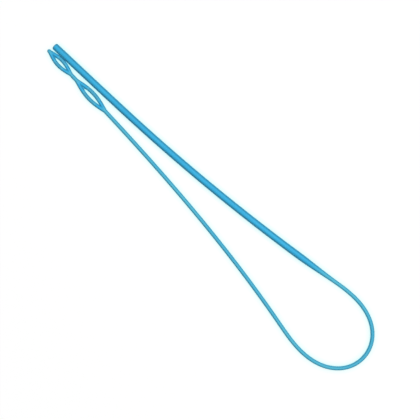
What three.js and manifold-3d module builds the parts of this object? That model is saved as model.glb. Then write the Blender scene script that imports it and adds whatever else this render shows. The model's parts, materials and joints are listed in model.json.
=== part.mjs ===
// A flexible ribbon threader: one moulded rod with a thick round handle, a taper, a thin shaft,
// and two eyes in line at the tip. It lies flat, with the shaft bent back along the handle.
// The moulding is divided where it flexes, into links that turn about upright hinge lines.
// Millimetres. +Z is up, +X leaves the butt along the handle, and the rod lies on z = 0.
import * as THREE from "three";
import { mergeVertices } from "three/addons/utils/BufferGeometryUtils.js";
import Module from "manifold-3d";

const wasm = await Module();
wasm.setup();

// Handle, taper and shaft
const HANDLE_LENGTH = 104;
const HANDLE_DIAMETER = 2.3;
const BUTT_ROUNDING = 0.5;
const TAPER_LENGTH = 16.5;
const SHAFT_LENGTH = 152.25;
const SHAFT_DIAMETER = 1.32;

// Eyes: two round strands part from the rod, bow out and meet again
const REAR_EYE_LENGTH = 14.1;
const REAR_EYE_WIDTH = 3.55;
const REAR_STRAND_DIAMETER = 1.32;
const REAR_OPENING_START = 2.95;
const REAR_OPENING_LENGTH = 7.4;
const BRIDGE_LENGTH = 2.3;
const BRIDGE_DIAMETER = 1.32;
const FRONT_EYE_LENGTH = 10.45;
const FRONT_EYE_WIDTH = 3.3;
const FRONT_STRAND_DIAMETER = 1.28;
const FRONT_OPENING_START = 2.3;
const FRONT_OPENING_LENGTH = 5.3;
const WEB_THICKNESS = 0.6;
const NOSE_LENGTH = 0.75;
const NOSE_ROOT_DEPTH = 0.5;

// How the rod lies: bows in degrees to the left, of the butt's stretch and of the rest of the
// handle, and lengths of the bend, which starts its lead before the taper's end and eases in and
// out. The return keeps a share of its first curvature up to the eyes.
const BUTT_BOW_LENGTH = 30;
const BUTT_BOW_ANGLE = 0.5;
const HANDLE_BOW_ANGLE = 7.6;
const BEND_LEAD = 3;
const BEND_EASE_IN = 26;
const BEND_ARC = 11;
const BEND_EASE_OUT = 29.7;
const RETURN_BOW_ANGLE = 8.6;
const RETURN_BOW_KEPT = 0.35;
const EYE_REST_GAP = 0.03;

// Division into links
const HANDLE_NAMES = ["handle_butt", "handle_middle", "handle_front"];
const BEND_LINKS = 10;
const RETURN_LINKS = 6;
const EYE_STEM = 2;
const LINK_GAP = 0.25;

// Fineness of the facets
const HANDLE_SIDES = 16;
const SHAFT_SIDES = 12;
const RING_ANGLE = 5;
const TAPER_RINGS = 7;
const STRAND_RINGS = 14;
const ROUND_STEPS = 3;
const LINE_STEP = 0.25;

const PLASTIC = { color: 0x2f9fd0, roughness: 0.36, metalness: 0 };

const DEGREE = Math.PI / 180;
const OPEN_BEND_ANGLE = 170;
const ANGLE_PRECISION = 1e-5;
const MERGE_DISTANCE = 1e-5;
const TAPER_END = HANDLE_LENGTH + TAPER_LENGTH;
const BEND_START = TAPER_END - BEND_LEAD;
const BEND_END = BEND_START + BEND_EASE_IN + BEND_ARC + BEND_EASE_OUT;
const SHAFT_END = TAPER_END + SHAFT_LENGTH;
const REAR_EYE_END = SHAFT_END + REAR_EYE_LENGTH;
const BRIDGE_END = REAR_EYE_END + BRIDGE_LENGTH;
const ROD_END = BRIDGE_END + FRONT_EYE_LENGTH + NOSE_LENGTH;
const HANDLE_RADIUS = HANDLE_DIAMETER / 2;
const SHAFT_RADIUS = SHAFT_DIAMETER / 2;

const REAR_EYE = {
  length: REAR_EYE_LENGTH,
  strandRadius: REAR_STRAND_DIAMETER / 2,
  bow: (REAR_EYE_WIDTH - REAR_STRAND_DIAMETER) / 2,
  openingStart: REAR_OPENING_START,
  openingLength: REAR_OPENING_LENGTH,
};
const FRONT_EYE = {
  length: FRONT_EYE_LENGTH,
  strandRadius: FRONT_STRAND_DIAMETER / 2,
  bow: (FRONT_EYE_WIDTH - FRONT_STRAND_DIAMETER) / 2,
  openingStart: FRONT_OPENING_START,
  openingLength: FRONT_OPENING_LENGTH,
};

// The rod's radius at a station, which is a distance along it from the butt
function radiusAt(station) {
  const share = THREE.MathUtils.smoothstep(station, HANDLE_LENGTH, TAPER_END);
  return THREE.MathUtils.lerp(HANDLE_RADIUS, SHAFT_RADIUS, share);
}

// Curvature in degrees per millimetre, positive to the left. It changes at a steady rate
// between stations: the bend eases in to its arc and out of it, and the return eases towards
// the eyes, which are straight.
function curvatureStations(bendTurn) {
  const buttCurve = BUTT_BOW_ANGLE / BUTT_BOW_LENGTH;
  const handleCurve = HANDLE_BOW_ANGLE / (BEND_START - BUTT_BOW_LENGTH);
  const meanReturnCurve = RETURN_BOW_ANGLE / (SHAFT_END - BEND_END);
  const returnCurve = (2 * meanReturnCurve) / (1 + RETURN_BOW_KEPT);
  const eased = (BEND_EASE_IN * handleCurve + BEND_EASE_OUT * returnCurve) / 2;
  const bendCurve = -(bendTurn + eased) / (BEND_EASE_IN / 2 + BEND_ARC + BEND_EASE_OUT / 2);
  const easeInEnd = BEND_START + BEND_EASE_IN;
  return [
    { station: 0, curve: buttCurve },
    { station: BUTT_BOW_LENGTH, curve: buttCurve },
    { station: BUTT_BOW_LENGTH, curve: handleCurve },
    { station: BEND_START, curve: handleCurve },
    { station: easeInEnd, curve: bendCurve },
    { station: easeInEnd + BEND_ARC, curve: bendCurve },
    { station: BEND_END, curve: returnCurve },
    { station: SHAFT_END, curve: returnCurve * RETURN_BOW_KEPT },
    { station: SHAFT_END, curve: 0 },
    { station: ROD_END + LINE_STEP, curve: 0 },
  ];
}

function curvatureAt(stations, station) {
  const next = stations.findIndex((entry) => entry.station > station);
  const before = stations[next - 1];
  const after = stations[next];
  const share = (station - before.station) / (after.station - before.station);
  return THREE.MathUtils.lerp(before.curve, after.curve, share);
}

// The centreline seen from above, as points a small step apart with their headings in degrees
function traceCentreline(bendTurn) {
  const stations = curvatureStations(bendTurn);
  const points = [{ x: 0, y: 0, heading: 0 }];
  for (let station = 0; station < ROD_END; station += LINE_STEP) {
    const last = points[points.length - 1];
    const turn = curvatureAt(stations, station + LINE_STEP / 2) * LINE_STEP;
    const middle = (last.heading + turn / 2) * DEGREE;
    points.push({
      x: last.x + Math.cos(middle) * LINE_STEP,
      y: last.y + Math.sin(middle) * LINE_STEP,
      heading: last.heading + turn,
    });
  }
  return points;
}

function placeOn(line, station) {
  const index = Math.min(Math.floor(station / LINE_STEP), line.length - 2);
  const share = station / LINE_STEP - index;
  const before = line[index];
  const after = line[index + 1];
  return {
    x: THREE.MathUtils.lerp(before.x, after.x, share),
    y: THREE.MathUtils.lerp(before.y, after.y, share),
    z: radiusAt(station),
    heading: THREE.MathUtils.lerp(before.heading, after.heading, share),
  };
}

// A place moved along its heading and to its left
function moved(place, along, left) {
  const cos = Math.cos(place.heading * DEGREE);
  const sin = Math.sin(place.heading * DEGREE);
  return {
    ...place,
    x: place.x + along * cos - left * sin,
    y: place.y + along * sin + left * cos,
  };
}

function strandOffset(eye, along) {
  return eye.bow * Math.sin((Math.PI * along) / eye.length);
}

// The least gap between the eyes' handle-side strands and the handle
function gapToHandle(line) {
  const handle = [];
  for (let station = 0; station <= HANDLE_LENGTH; station += LINE_STEP) {
    handle.push(placeOn(line, station));
  }
  let least = Infinity;
  for (const [eye, start] of [[REAR_EYE, SHAFT_END], [FRONT_EYE, BRIDGE_END]]) {
    for (let along = 0; along <= eye.length; along += LINE_STEP) {
      const strand = moved(placeOn(line, start + along), 0, -strandOffset(eye, along));
      for (const place of handle) {
        const apart = Math.hypot(strand.x - place.x, strand.y - place.y, strand.z - place.z);
        least = Math.min(least, apart - HANDLE_RADIUS - eye.strandRadius);
      }
    }
  }
  return least;
}

// The bend closes, from an open start, just as far as leaves the eyes at their rest gap
function solveBendTurn() {
  let turn = OPEN_BEND_ANGLE;
  for (let step = 1; step > ANGLE_PRECISION; step /= 2) {
    while (gapToHandle(traceCentreline(turn + step)) > EYE_REST_GAP) {
      turn += step;
    }
  }
  return turn;
}

const LINE = traceCentreline(solveBendTurn());

// The station in the bend where the heading has fallen by a turn from the taper's end
function stationOfTurn(turn) {
  const target = placeOn(LINE, TAPER_END).heading - turn;
  let index = Math.ceil(TAPER_END / LINE_STEP);
  while (LINE[index].heading > target) {
    index += 1;
  }
  const back = (target - LINE[index].heading) / (LINE[index - 1].heading - LINE[index].heading);
  return (index - back) * LINE_STEP;
}

// Names and stations of the rod's links: even lengths in the handle and in the return,
// even turns in the bend
function rodLinks() {
  const links = HANDLE_NAMES.map((name, index) => ({
    name,
    start: (HANDLE_LENGTH * index) / HANDLE_NAMES.length,
    end: (HANDLE_LENGTH * (index + 1)) / HANDLE_NAMES.length,
    sides: HANDLE_SIDES,
  }));
  links.push({ name: "taper", start: HANDLE_LENGTH, end: TAPER_END, sides: HANDLE_SIDES });
  const bendTurn = placeOn(LINE, TAPER_END).heading - placeOn(LINE, BEND_END).heading;
  const returnStep = (SHAFT_END - EYE_STEM - BEND_END) / RETURN_LINKS;
  let start = TAPER_END;
  for (let index = 1; index <= BEND_LINKS + RETURN_LINKS; index += 1) {
    let end = BEND_END + (index - BEND_LINKS) * returnStep;
    if (index < BEND_LINKS) {
      end = stationOfTurn((bendTurn * index) / BEND_LINKS);
    }
    const name = `shaft_${String(index).padStart(2, "0")}`;
    links.push({ name, start, end, sides: SHAFT_SIDES });
    start = end;
  }
  return links;
}

// A place on the centreline as seen from the start of a link: x forward, y to the left
function localPlace(origin, station) {
  const place = placeOn(LINE, station);
  const turned = -origin.heading * DEGREE;
  const offset = new THREE.Vector2(place.x - origin.x, place.y - origin.y);
  offset.rotateAround(new THREE.Vector2(), turned);
  return {
    x: offset.x,
    y: offset.y,
    z: place.z - origin.z,
    heading: place.heading - origin.heading,
  };
}

// A shape turned about its axis, from a profile of [distance along, radius], laid along a
// line: pathPlace gives the place and heading at a distance along it
function turnedAlong(profile, sides, pathPlace) {
  const outline = profile.map(([along, radius]) => new THREE.Vector2(radius, along));
  const geometry = new THREE.LatheGeometry(outline, sides);
  const position = geometry.attributes.position;
  for (let index = 0; index < position.count; index += 1) {
    const place = pathPlace(position.getY(index));
    const bent = moved(place, 0, -position.getX(index));
    position.setXYZ(index, bent.x, bent.y, place.z + position.getZ(index));
  }
  return geometry;
}

// Profile of a dome that ends a link, round its hinge point
function domeProfile(centre, radius) {
  const points = [];
  for (let step = 0; step <= ROUND_STEPS; step += 1) {
    const angle = (Math.PI / 2) * (step / ROUND_STEPS);
    points.push([centre + radius * Math.sin(angle), step < ROUND_STEPS ? radius * Math.cos(angle) : 0]);
  }
  return points;
}

// Profile of a socket that clears the dome of the link before, from the axis to its rim
function socketProfile(socketRadius, rimRadius) {
  const rimAngle = Math.asin(Math.min(rimRadius / socketRadius, 1));
  const points = [];
  for (let step = 0; step <= ROUND_STEPS; step += 1) {
    const angle = rimAngle * (step / ROUND_STEPS);
    points.push([socketRadius * Math.cos(angle), socketRadius * Math.sin(angle)]);
  }
  return points;
}

// Profile of the butt: a flat face with a rounded edge
function buttProfile() {
  const points = [[0, 0]];
  for (let step = 0; step <= ROUND_STEPS; step += 1) {
    const angle = (Math.PI / 2) * (step / ROUND_STEPS);
    const inset = BUTT_ROUNDING * (1 - Math.sin(angle));
    points.push([BUTT_ROUNDING * (1 - Math.cos(angle)), HANDLE_RADIUS - inset]);
  }
  return points;
}

// The socket at the start of a rod link, whose rim meets the link's own surface
function rodSocketProfile(station) {
  const socketRadius = radiusAt(station) + LINK_GAP;
  const rimReach = Math.sqrt(socketRadius ** 2 - radiusAt(station) ** 2);
  return socketProfile(socketRadius, radiusAt(station + rimReach));
}

// One link of the rod in its own frame, with its hinge point at the origin
function rodLinkGeometry(link) {
  const origin = placeOn(LINE, link.start);
  const length = link.end - link.start;
  const profile = link.start === 0 ? buttProfile() : rodSocketProfile(link.start);
  const from = profile[profile.length - 1][0];
  const turn = Math.abs(placeOn(LINE, link.end).heading - origin.heading);
  const rings = Math.max(Math.ceil(turn / RING_ANGLE), link.name === "taper" ? TAPER_RINGS : 1);
  for (let ring = 1; ring < rings; ring += 1) {
    const along = THREE.MathUtils.lerp(from, length, ring / rings);
    profile.push([along, radiusAt(link.start + along)]);
  }
  profile.push(...domeProfile(length, radiusAt(link.end)));
  const front = localPlace(origin, link.end);
  return turnedAlong(profile, link.sides, (along) => (
    along < length ? localPlace(origin, link.start + along) : moved(front, along - length, 0)
  ));
}

// Closed solids for joining and cutting
function toSolid(geometry) {
  const bare = geometry.clone();
  for (const attribute of Object.keys(bare.attributes)) {
    if (attribute !== "position") {
      bare.deleteAttribute(attribute);
    }
  }
  const merged = mergeVertices(bare, MERGE_DISTANCE);
  return new wasm.Manifold(new wasm.Mesh({
    numProp: 3,
    vertProperties: new Float32Array(merged.attributes.position.array),
    triVerts: new Uint32Array(merged.index.array),
  }));
}

function toGeometry(solid) {
  const mesh = solid.getMesh();
  const geometry = new THREE.BufferGeometry();
  geometry.setAttribute("position", new THREE.BufferAttribute(mesh.vertProperties, 3));
  geometry.setIndex(new THREE.BufferAttribute(mesh.triVerts, 1));
  geometry.computeVertexNormals();
  return geometry;
}

// One round strand of an eye: side is 1 for the left strand and -1 for the right
function strandSolid(eye, start, side) {
  const radius = eye.strandRadius;
  const profile = domeProfile(0, radius).map(([along, r]) => [-along, r]).reverse();
  for (let ring = 1; ring < STRAND_RINGS; ring += 1) {
    profile.push([(eye.length * ring) / STRAND_RINGS, radius]);
  }
  profile.push(...domeProfile(eye.length, radius));
  const strandPlace = (along) => {
    const slope = (eye.bow * Math.PI * Math.cos((Math.PI * along) / eye.length)) / eye.length;
    const heading = (side * Math.atan(slope)) / DEGREE;
    return { x: start + along, y: side * strandOffset(eye, along), z: 0, heading };
  };
  return toSolid(turnedAlong(profile, SHAFT_SIDES, strandPlace));
}

// A lens outline between two points on the axis, anticlockwise, its sides half a sine wave
function lensPoints(start, length, halfWidth) {
  const points = [];
  for (let ring = 0; ring < 2 * STRAND_RINGS; ring += 1) {
    const forward = ring < STRAND_RINGS;
    const share = forward ? ring / STRAND_RINGS : 2 - ring / STRAND_RINGS;
    const across = halfWidth * Math.sin(Math.PI * share);
    points.push(new THREE.Vector2(start + length * share, forward ? -across : across));
  }
  return points;
}

// The thin web between the strands, which leaves a pointed opening in the middle
function webSolid(eye, start) {
  const outline = new THREE.Shape(lensPoints(start, eye.length, eye.bow));
  const openingReach = eye.bow - eye.strandRadius / 2;
  const opening = lensPoints(start + eye.openingStart, eye.openingLength, openingReach);
  outline.holes.push(new THREE.Path(opening));
  const geometry = new THREE.ExtrudeGeometry(outline, { depth: WEB_THICKNESS, bevelEnabled: false });
  geometry.translate(0, 0, -WEB_THICKNESS / 2);
  return toSolid(geometry);
}

function eyeSolid(eye, start) {
  return strandSolid(eye, start, 1).add(strandSolid(eye, start, -1)).add(webSolid(eye, start));
}

// The round nose in front of the front eye, rooted where the eye's strands meet
function noseSolid(start) {
  const stretch = NOSE_LENGTH / FRONT_EYE.strandRadius;
  const profile = [[start - NOSE_ROOT_DEPTH, 0]];
  for (const [reach, radius] of domeProfile(0, FRONT_EYE.strandRadius)) {
    profile.push([start + reach * stretch, radius]);
  }
  return toSolid(turnedAlong(profile, SHAFT_SIDES, (along) => ({ x: along, y: 0, z: 0, heading: 0 })));
}

function socketSolid(parentRadius) {
  return toSolid(new THREE.SphereGeometry(parentRadius + LINK_GAP, SHAFT_SIDES, SHAFT_SIDES / 2));
}

// The rear eye, with the short stem of the shaft that carries it
function rearEyeGeometry() {
  const profile = rodSocketProfile(SHAFT_END - EYE_STEM);
  profile.push(...domeProfile(EYE_STEM, SHAFT_RADIUS));
  const straight = (along) => ({ x: along, y: 0, z: 0, heading: 0 });
  const stem = toSolid(turnedAlong(profile, SHAFT_SIDES, straight));
  return toGeometry(stem.add(eyeSolid(REAR_EYE, EYE_STEM)));
}

// The short neck between the eyes
function bridgeGeometry() {
  const radius = BRIDGE_DIAMETER / 2;
  const parentRadius = Math.max(REAR_EYE.strandRadius, radius);
  const profile = socketProfile(parentRadius + LINK_GAP, radius);
  profile.push(...domeProfile(BRIDGE_LENGTH, radius));
  return turnedAlong(profile, SHAFT_SIDES, (along) => ({ x: along, y: 0, z: 0, heading: 0 }));
}

function frontEyeGeometry() {
  const whole = eyeSolid(FRONT_EYE, 0).add(noseSolid(FRONT_EYE.length));
  return toGeometry(whole.subtract(socketSolid(BRIDGE_DIAMETER / 2)));
}

// Every link in order from the butt: its name, the station of its hinge and its shape
function allLinks() {
  const links = rodLinks().map((link) => ({
    name: link.name,
    start: link.start,
    geometry: rodLinkGeometry(link),
  }));
  links.push({ name: "rear_eye", start: SHAFT_END - EYE_STEM, geometry: rearEyeGeometry() });
  links.push({ name: "eye_bridge", start: REAR_EYE_END, geometry: bridgeGeometry() });
  links.push({ name: "front_eye", start: BRIDGE_END, geometry: frontEyeGeometry() });
  return links;
}

// Each link hangs on the one before, in a group whose origin is the hinge between them
function assemble() {
  const whole = new THREE.Group();
  let parent = whole;
  let before = { x: 0, y: 0, z: 0, heading: 0 };
  for (const link of allLinks()) {
    const place = placeOn(LINE, link.start);
    const offset = new THREE.Vector2(place.x - before.x, place.y - before.y);
    offset.rotateAround(new THREE.Vector2(), -before.heading * DEGREE);
    const hinge = new THREE.Group();
    hinge.position.set(offset.x, offset.y, place.z - before.z);
    hinge.rotation.z = (place.heading - before.heading) * DEGREE;
    const mesh = new THREE.Mesh(link.geometry, new THREE.MeshStandardMaterial(PLASTIC));
    mesh.name = link.name;
    hinge.add(mesh);
    parent.add(hinge);
    parent = hinge;
    before = place;
  }
  return whole;
}

// The origin is below the middle of the box that the threader fills
function centreOnFloor(whole) {
  whole.updateMatrixWorld(true);
  const box = new THREE.Box3().setFromObject(whole, true);
  const middle = box.getCenter(new THREE.Vector3());
  whole.position.set(-middle.x, -middle.y, -box.min.z);
  whole.updateMatrixWorld(true);
  return whole;
}

const threader = centreOnFloor(assemble());

export default threader;
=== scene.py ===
"""Dresses the flexible ribbon threader: one blue moulded rod, lying flat in a long loop.

The rod is modelled straight, as it leaves its mould, and then laid along the loop. Each piece
runs from the middle of one link of the frame to the middle of the next, with the rear eye left
whole, so that the rod looks unbroken at rest.

Straight coordinates are metres: X along the rod from the butt, Y to its left, Z up from its
axis. Each vertex keeps them in the attribute "mould_place", the plastic's width there in
"mould_width" and how upright the surface is in "mould_side". The finish reads all three, and
by the last two paints light and shade into the plastic's colour.
"""

import json
import logging
import math
from bisect import bisect_right
from dataclasses import dataclass, field
from enum import Enum

import bmesh
import bpy
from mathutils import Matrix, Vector

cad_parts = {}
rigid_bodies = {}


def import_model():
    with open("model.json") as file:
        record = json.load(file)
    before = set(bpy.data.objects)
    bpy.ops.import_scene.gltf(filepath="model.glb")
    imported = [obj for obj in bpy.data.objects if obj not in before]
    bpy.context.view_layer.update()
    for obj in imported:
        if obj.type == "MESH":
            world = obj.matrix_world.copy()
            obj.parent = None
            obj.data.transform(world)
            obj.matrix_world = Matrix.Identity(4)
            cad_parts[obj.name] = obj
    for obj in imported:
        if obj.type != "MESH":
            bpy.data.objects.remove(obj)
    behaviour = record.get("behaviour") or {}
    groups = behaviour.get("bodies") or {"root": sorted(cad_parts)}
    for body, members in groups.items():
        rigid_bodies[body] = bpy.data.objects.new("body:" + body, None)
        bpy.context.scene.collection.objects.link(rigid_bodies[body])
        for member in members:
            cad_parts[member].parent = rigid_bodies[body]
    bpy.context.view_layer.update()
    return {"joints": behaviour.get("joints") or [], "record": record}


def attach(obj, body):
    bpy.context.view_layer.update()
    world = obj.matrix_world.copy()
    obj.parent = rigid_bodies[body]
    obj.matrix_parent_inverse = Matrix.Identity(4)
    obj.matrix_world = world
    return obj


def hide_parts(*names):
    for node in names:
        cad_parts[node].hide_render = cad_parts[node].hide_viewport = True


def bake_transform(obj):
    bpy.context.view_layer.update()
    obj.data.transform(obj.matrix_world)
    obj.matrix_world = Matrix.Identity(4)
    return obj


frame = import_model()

LOG = logging.getLogger("threader")
MM = 0.001

# Fineness of the skins
SIDE_STEPS = 18
SIDE_EASE = 1.3
LINE_STEP = 0.2 * MM
MERGE = 0.0005 * MM
NO_LENGTH = MERGE / 10
COUNT_SLACK = 1e-6

# Attributes that the finish reads
PLACE_ATTRIBUTE = "mould_place"
WIDTH_ATTRIBUTE = "mould_width"
SIDE_ATTRIBUTE = "mould_side"

Colour = tuple[float, float, float, float]
WHITE: Colour = (1.0, 1.0, 1.0, 1.0)
BLACK: Colour = (0.0, 0.0, 0.0, 1.0)


def smoothstep(value: float, low: float, high: float) -> float:
    """Eases from 0 at low to 1 at high.

    Args:
        value: Where to read the curve.
        low: Where it leaves 0.
        high: Where it reaches 1.

    Returns:
        The eased share, from 0 to 1.
    """
    share = min(max((value - low) / (high - low), 0.0), 1.0)
    return share * share * (3 - 2 * share)


def mix(first: float, second: float, share: float) -> float:
    """Returns the value at a share of the way from first to second."""
    return first + (second - first) * share


def smooth_max(first: float, second: float, fillet: float) -> float:
    """Joins two heights with a rounded valley.

    Args:
        first: One height.
        second: The other height.
        fillet: How far apart the heights may be and still be rounded into each other.

    Returns:
        The larger height, raised a little where the two are near each other.
    """
    higher = max(first, second)
    if fillet <= 0:
        return higher
    near = max(fillet - abs(first - second), 0.0)
    return higher + near * near / (4 * fillet)


def smooth_min(first: float, second: float, fillet: float) -> float:
    """Returns the smaller of two values, with a rounded change from one to the other."""
    return -smooth_max(-first, -second, fillet)


@dataclass(frozen=True)
class Section:
    """The rod cut square at one station. It is the same on all four sides of the axis.

    Attributes:
        width: Half the width of a strand, or of the rod where it is one.
        height: Half its height.
        spread: How far each strand's middle is from the axis, or 0.
        opening: Half the width of the gap that the mould leaves between the strands.
        beyond: How far outside the opening's pointed ends this station is.
        web: Half the thickness of the web between the strands.
        valley: The fillet between two strands that still touch.
        rim: The width in which the web rounds off at the opening.
        join: The fillet where the mould's gap gives way to the strands' own sides.
        sharpness: How crisply the web meets the strands.
        seam_height: How far the parting line stands proud.
        seam_width: How far up the side it reaches.
        seam_full: The half width from which a strand has the whole parting line.
        parting: Half the gap from which the strands count as two.
        strand_share: How wide such a strand counts, as a share of its width.
    """

    width: float
    height: float
    spread: float = 0.0
    opening: float = 0.0
    beyond: float = 1.0
    web: float = 0.0
    valley: float = 0.12 * MM
    rim: float = 0.14 * MM
    join: float = 0.08 * MM
    sharpness: float = 5.0
    seam_height: float = 0.012 * MM
    seam_width: float = 0.04 * MM
    seam_full: float = 0.4 * MM
    parting: float = 0.35 * MM
    strand_share: float = 0.8

    @property
    def inner(self) -> float:
        """How far the plastic starts from the axis, or 0 where there is no opening."""
        if self.beyond > 0:
            return 0.0
        return max(0.0, smooth_min(self.opening, self.spread - self.width, self.join))

    @property
    def outer(self) -> float:
        """How far the plastic reaches from the axis."""
        return self.spread + self.width

    @property
    def plastic_width(self) -> float:
        """How wide the plastic is in one piece: the rod, or two strands together.

        A parted strand counts as narrower than it is, so that the finish gives it the strand's
        colour.
        """
        sides = mix(2.0, self.strand_share, smoothstep(self.inner, 0.0, self.parting))
        return (self.outer - self.inner) * sides

    def arc(self, offset: float) -> float:
        """Returns a strand's surface height at an offset from the strand's middle."""
        return self.height * math.sqrt(max(0.0, 1 - (offset / self.width) ** 2))

    def web_height(self, across: float) -> float:
        """Works out the web's surface, which rounds off at the opening's rim.

        Args:
            across: Distance to the left of the axis.

        Returns:
            The surface's height there.
        """
        if self.web <= 0:
            return 0.0
        reach = math.hypot(self.beyond, max(0.0, across - self.opening))
        lack = 1 - min(reach / self.rim, 1.0)
        return self.web * math.sqrt(max(0.0, 1 - lack * lack))

    def surface(self, across: float) -> float:
        """Works out the upper surface of the strands and the web together.

        Args:
            across: Distance to the left of the axis.

        Returns:
            The surface's height there.
        """
        near = self.arc(across - self.spread)
        far = self.arc(across + self.spread)
        fillet = min(self.valley, near + far, self.spread ** 2 / max(self.width, MERGE))
        strands = smooth_max(near, far, fillet)
        web = self.web_height(across)
        if across > self.spread and self.height > 0:
            web *= near / self.height
        return (strands ** self.sharpness + web ** self.sharpness) ** (1 / self.sharpness)

    def point(self, share: float) -> tuple[float, float]:
        """Gives a point of the quarter's outline.

        Args:
            share: 0 at the outer edge and 1 at the axis, or at the opening's rim.

        Returns:
            Its distance to the left of the axis, and its height above the axis.
        """
        if self.width <= 0:
            return 0.0, 0.0
        inner, outer = self.inner, self.outer
        turn = math.pi * share ** SIDE_EASE
        parted = smoothstep(self.spread, 0.0, self.width)
        reach = mix(math.cos(turn / 2), (1 + math.cos(turn)) / 2, parted)
        across = mix(inner, outer, reach)
        if share >= 1:
            across = inner
        if share <= 0:
            across = outer
        edge = share <= 0 or (share >= 1 and self.beyond <= 0)
        up = 0.0 if edge else self.surface(across)
        seam = self.seam_height * math.exp(-((up / self.seam_width) ** 2))
        seam *= min(self.width / self.seam_full, 1.0)
        is_outer_half = share < 0.5
        return (across + seam if is_outer_half else across), up


@dataclass(frozen=True)
class Eye:
    """One eye: two strands part from the rod, bow out and meet again.

    Attributes:
        length: The eye's length.
        full_width: Its width over both strands, where it is widest.
        strand: Each strand's diameter.
        opening_start: How far into the eye the opening's first point lies.
        opening_length: The opening's length from point to point.
        web: Half the thickness of the webs in the crotches.
        softness: How gently the strands start to part.
        side_kept: The share of a strand's inner half that the mould's gap leaves at least.
    """

    length: float
    full_width: float
    strand: float
    opening_start: float
    opening_length: float
    web: float = 0.3 * MM
    softness: float = 0.06
    side_kept: float = 0.5

    @property
    def radius(self) -> float:
        """Each strand's radius."""
        return self.strand / 2

    @property
    def bow(self) -> float:
        """How far each strand's middle bows out."""
        return (self.full_width - self.strand) / 2

    def spread(self, along: float) -> float:
        """Works out how far the strands have parted, easing in and out at the ends.

        Args:
            along: Distance into the eye.

        Returns:
            The distance of each strand's middle from the axis.
        """
        wave = math.sin(math.pi * along / self.length)
        full = math.hypot(1.0, self.softness) - self.softness
        return self.bow * (math.hypot(wave, self.softness) - self.softness) / full

    def section(self, along: float) -> Section:
        """Cuts the eye.

        Args:
            along: Distance into the eye.

        Returns:
            The eye's section at that distance.
        """
        spread = self.spread(along)
        place = along - self.opening_start
        beyond = max(-place, place - self.opening_length, 0.0)
        opening = 0.0
        if beyond <= 0:
            reach = self.bow - self.radius * self.side_kept
            opening = reach * math.sin(math.pi * place / self.opening_length)
        web = self.web * smoothstep(spread, 0.0, self.radius)
        return Section(self.radius, self.radius, spread, opening, beyond, web)


@dataclass(frozen=True)
class Handle:
    """The thick, round end that the hand holds, with the taper to the shaft.

    Attributes:
        length: The handle's length.
        radius: Its radius.
        rounding: The radius of the butt's rounded edge.
        taper: The taper's length.
        step: The distance between rings.
        rounding_steps: The number of rings round the butt's edge.
        gate_share: The gate mark's width, as a share of the butt's flat end.
        gate_floor_share: The width of the mark's floor, as a share of the mark.
        gate_depth: The mark's depth.
    """

    length: float = 104.0 * MM
    radius: float = 1.15 * MM
    rounding: float = 0.5 * MM
    taper: float = 16.5 * MM
    step: float = 1.0 * MM
    rounding_steps: int = 8
    gate_share: float = 0.5
    gate_floor_share: float = 0.85
    gate_depth: float = 0.05 * MM

    @property
    def end(self) -> float:
        """The station where the taper ends."""
        return self.length + self.taper

    def radius_at(self, station: float, shaft_radius: float) -> float:
        """Returns the rod's radius, from the handle down the taper to the shaft's radius."""
        return mix(self.radius, shaft_radius, smoothstep(station, self.length, self.end))

    def section(self, station: float, shaft_radius: float) -> Section:
        """Cuts the handle or the taper, with the butt's rounded edge.

        Args:
            station: Where to cut.
            shaft_radius: The radius to which the taper leads.

        Returns:
            The round section there.
        """
        radius = self.radius_at(station, shaft_radius)
        if station < self.rounding:
            lack = self.rounding - station
            radius -= self.rounding - math.sqrt(max(0.0, self.rounding ** 2 - lack ** 2))
        return Section(radius, radius)

    def butt_stations(self) -> list[float]:
        """Returns the stations round the butt's edge, in even turns."""
        turns = [math.pi / 2 * step / self.rounding_steps for step in range(self.rounding_steps)]
        return [self.rounding * (1 - math.cos(turn)) for turn in turns]

    def mark_gate(self, bm: bmesh.types.BMesh) -> None:
        """Presses the shallow mark that the mould's gate leaves into the butt's flat end.

        Args:
            bm: The straight butt piece, closed by a cap at station 0.
        """
        cap = next(face for face in bm.faces if all(abs(vert.co.x) < MERGE for vert in face.verts))
        for share, depth in ((self.gate_share, 0.0), (self.gate_floor_share, self.gate_depth)):
            cap = bmesh.ops.extrude_discrete_faces(bm, faces=[cap])["faces"][0]
            bmesh.ops.scale(bm, vec=(1.0, share, share), verts=cap.verts[:])
            bmesh.ops.translate(bm, vec=(depth, 0, 0), verts=cap.verts[:])


@dataclass(frozen=True)
class Shaft:
    """The thin, flexible stretch that bends back along the handle.

    Attributes:
        length: The shaft's length.
        radius: Its radius.
        step: The distance between rings.
    """

    length: float = 152.25 * MM
    radius: float = 0.66 * MM
    step: float = 0.35 * MM

    def section(self) -> Section:
        """Cuts the shaft, which is round and even."""
        return Section(self.radius, self.radius)


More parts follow.
